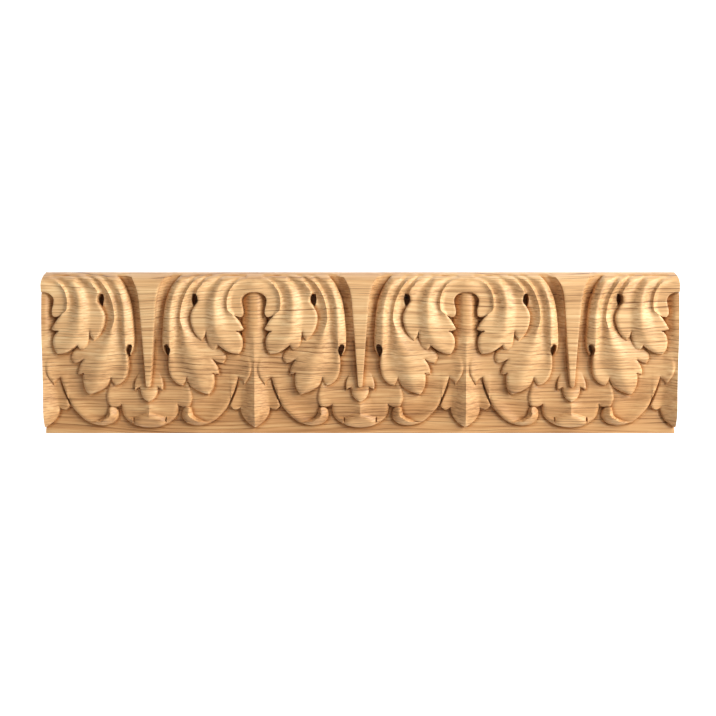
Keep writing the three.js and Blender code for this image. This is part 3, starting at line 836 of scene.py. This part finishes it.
def oak():
    """Oak in straight growth rings, darkened by painted shade where the carving lies low and in the column
    under each arch.
    """
    material = bpy.data.materials.new("oak")
    material.use_nodes = True
    nodes, links = material.node_tree.nodes, material.node_tree.links
    shader = nodes["Principled BSDF"]
    shader.inputs["Roughness"].default_value = 0.45
    shader.inputs["Specular IOR Level"].default_value = 0.4

    def filled(node, values):
        """The node's first output, with a value or a link in each of its inputs."""
        for value, socket in zip(values, node.inputs):
            if isinstance(value, (int, float)):
                socket.default_value = value
            else:
                links.new(value, socket)
        return node.outputs[0]

    def result(operation, *values):
        node = nodes.new("ShaderNodeMath")
        node.operation = operation
        return filled(node, values)

    def ramp(value, low, high, to_low=0.0, to_high=1.0):
        node = nodes.new("ShaderNodeMapRange")
        limits = {"From Min": low, "From Max": high, "To Min": to_low, "To Max": to_high}
        for name, number in limits.items():
            node.inputs[name].default_value = number
        links.new(value, node.inputs["Value"])
        return node.outputs["Result"]

    where = nodes.new("ShaderNodeTexCoord")
    split = nodes.new("ShaderNodeSeparateXYZ")
    links.new(where.outputs["Object"], split.inputs[0])
    x, y, z = split.outputs
    # the rings slope through the board, so that their lines bend over the relief
    rise, run = math.sin(RING_SLOPE), math.cos(RING_SLOPE)
    across = result("ADD", result("MULTIPLY", z, run), result("MULTIPLY", y, -rise))
    with_rings = result("ADD", result("MULTIPLY", y, run), result("MULTIPLY", z, rise))

    def noise(scales, depth, detail=2.0, roughness=0.5):
        """Noise over the board, at a depth across the rings."""
        at = [result("MULTIPLY", value, scale) for value, scale in zip((x, with_rings, depth), scales)]
        node = nodes.new("ShaderNodeTexNoise")
        node.inputs["Scale"].default_value = 1.0
        node.inputs["Detail"].default_value = detail
        node.inputs["Roughness"].default_value = roughness
        links.new(filled(nodes.new("ShaderNodeCombineXYZ"), at), node.inputs["Vector"])
        return node.outputs["Fac"]

    radius = result("ADD", across, result("MULTIPLY", noise(SWAY, across, 1.0), SWAY_REACH))
    radius = result("ADD", radius, result("MULTIPLY", noise(RIPPLE, across), RIPPLE_REACH))

    # each growth ring: open dark pores at its start, then dense paler wood
    rings = result("DIVIDE", radius, RING_WIDTH)
    strength = ramp(noise(RING_STRENGTH, result("FLOOR", rings), 1.0), 0.38, 0.62, 0.15, 1.0)
    early = result("MULTIPLY", ramp(result("FRACT", rings), 0.22, 0.03), strength)
    pores = result("MULTIPLY", early, ramp(noise(PORES, radius, 3.0, 0.65), 0.32, 0.58))
    fibre = ramp(noise(FIBRE, radius, 4.0, 0.65), 0.3, 0.7, 0.22, 0.82)
    bands = ramp(noise(BANDS, radius), 0.3, 0.7, -0.15, 0.2)
    shade = result("SUBTRACT", result("ADD", fibre, bands), result("MULTIPLY", pores, PORE_DEPTH))

    tone = nodes.new("ShaderNodeValToRGB")
    stops = tone.color_ramp.elements
    stops[0].position, stops[0].color = 0.0, OAK_DARK
    stops[1].position, stops[1].color = 1.0, OAK_PALE
    stops.new(0.5).color = OAK_MIDDLE
    links.new(shade, tone.inputs["Fac"])

    # painted shade: the column under each arch is darkened as if the arch above and the leaves beside it
    # shaded it
    from_axis = result("PINGPONG", result("SUBTRACT", x, LOW.x), HALF * ALONG)
    column = result("MULTIPLY", ramp(from_axis, *COLUMN_SIDE), ramp(z, *COLUMN_HEAD))
    column = result("MULTIPLY", column, ramp(z, *COLUMN_FOOT, 0.0, COLUMN_SHADE))
    # painted shade: the oak is multiplied by a darker tint where the carving lies low and in the column
    # under each arch
    painted_shade = nodes.new("ShaderNodeMix")
    painted_shade.data_type = "RGBA"
    painted_shade.blend_type = "MULTIPLY"
    bare, tint = [socket for socket in painted_shade.inputs if socket.type == "RGBA"]
    shaded_colour = [socket for socket in painted_shade.outputs if socket.type == "RGBA"][0]
    links.new(result("MAXIMUM", ramp(y, *LOW_SHADE_RANGE), column), painted_shade.inputs["Factor"])
    links.new(tone.outputs["Color"], bare)
    tint.default_value = SHADE_TINT
    links.new(shaded_colour, shader.inputs["Base Color"])

    bump = nodes.new("ShaderNodeBump")
    bump.inputs["Strength"].default_value = 0.35
    bump.inputs["Distance"].default_value = BUMP_HEIGHT
    links.new(shade, bump.inputs["Height"])
    links.new(bump.outputs["Normal"], shader.inputs["Normal"])
    return material


moulding.data.materials.append(oak())
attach(moulding, "root")
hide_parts(NODE)


# Camera, light and studio

SENSOR = 36.0
LENS = 62.6
CAMERA_PLACE = (-0.0011, -0.631, -0.00265)

# Backdrop: a floor that bends up into a wall
FLOOR_LEVEL = -0.8
FLOOR_FRONT = -3.0
WALL = 1.0
WALL_TOP = 3.0
HALF_WIDTH = 4.0
BEND = 0.5
BEND_STEPS = 12


def placed(name, data, place):
    """A new object of the scene."""
    made = bpy.data.objects.new(name, data)
    made.location = place
    bpy.context.scene.collection.objects.link(made)
    return made


def camera():
    """Camera at the photo's distance, square on to the moulding."""
    data = bpy.data.cameras.new("camera")
    data.sensor_width = SENSOR
    data.lens = LENS
    data.clip_start = 0.01
    made = placed("camera", data, CAMERA_PLACE)
    made.rotation_euler = (math.radians(90), 0, 0)
    bpy.context.scene.camera = made


def area_light(name, place, aim, size, power, colour=(1, 1, 1)):
    data = bpy.data.lights.new(name, "AREA")
    data.shape = "RECTANGLE"
    data.size, data.size_y = size
    data.energy = power
    data.color = colour
    made = placed(name, data, place)
    made.rotation_euler = (Vector(aim) - Vector(place)).to_track_quat("-Z", "Y").to_euler()


def backdrop():
    profile = [(FLOOR_FRONT, FLOOR_LEVEL)]
    for i in range(BEND_STEPS + 1):
        turn = math.radians(-90 + 90 * i / BEND_STEPS)
        bend_y = WALL - BEND + BEND * math.cos(turn)
        profile.append((bend_y, FLOOR_LEVEL + BEND + BEND * math.sin(turn)))
    profile.append((WALL, WALL_TOP))
    verts = [(x, y, z) for y, z in profile for x in (-HALF_WIDTH, HALF_WIDTH)]
    faces = [(2 * i, 2 * i + 1, 2 * i + 3, 2 * i + 2) for i in range(len(profile) - 1)]
    sheet = bpy.data.meshes.new("backdrop")
    sheet.from_pydata(verts, [], faces)
    sheet.shade_smooth()
    material = bpy.data.materials.new("backdrop")
    material.use_nodes = True
    shader = material.node_tree.nodes["Principled BSDF"]
    shader.inputs["Base Color"].default_value = (0.9, 0.9, 0.9, 1)
    shader.inputs["Roughness"].default_value = 1.0
    sheet.materials.append(material)
    placed("backdrop", sheet, (0, 0, 0))


def studio():
    """Key light from the upper right, two washes on the wall behind, and a little light all round."""
    area_light("key", (0.92, -0.62, 0.46), (0, 0, 0), (1.0, 1.0), 26, (1.0, 0.985, 0.90))
    area_light("upper_wash", (0, 0.35, 0.9), (0, 1.0, 0.9), (3.0, 0.5), 17)
    area_light("lower_wash", (0, 0.35, -0.65), (0, 1.0, -0.65), (3.0, 0.3), 14)
    world = bpy.data.worlds.new("studio")
    world.use_nodes = True
    world.node_tree.nodes["Background"].inputs["Color"].default_value = (1, 1, 1, 1)
    world.node_tree.nodes["Background"].inputs["Strength"].default_value = 0.35
    bpy.context.scene.world = world
    bpy.context.scene.view_settings.view_transform = "Standard"


camera()
backdrop()
studio()
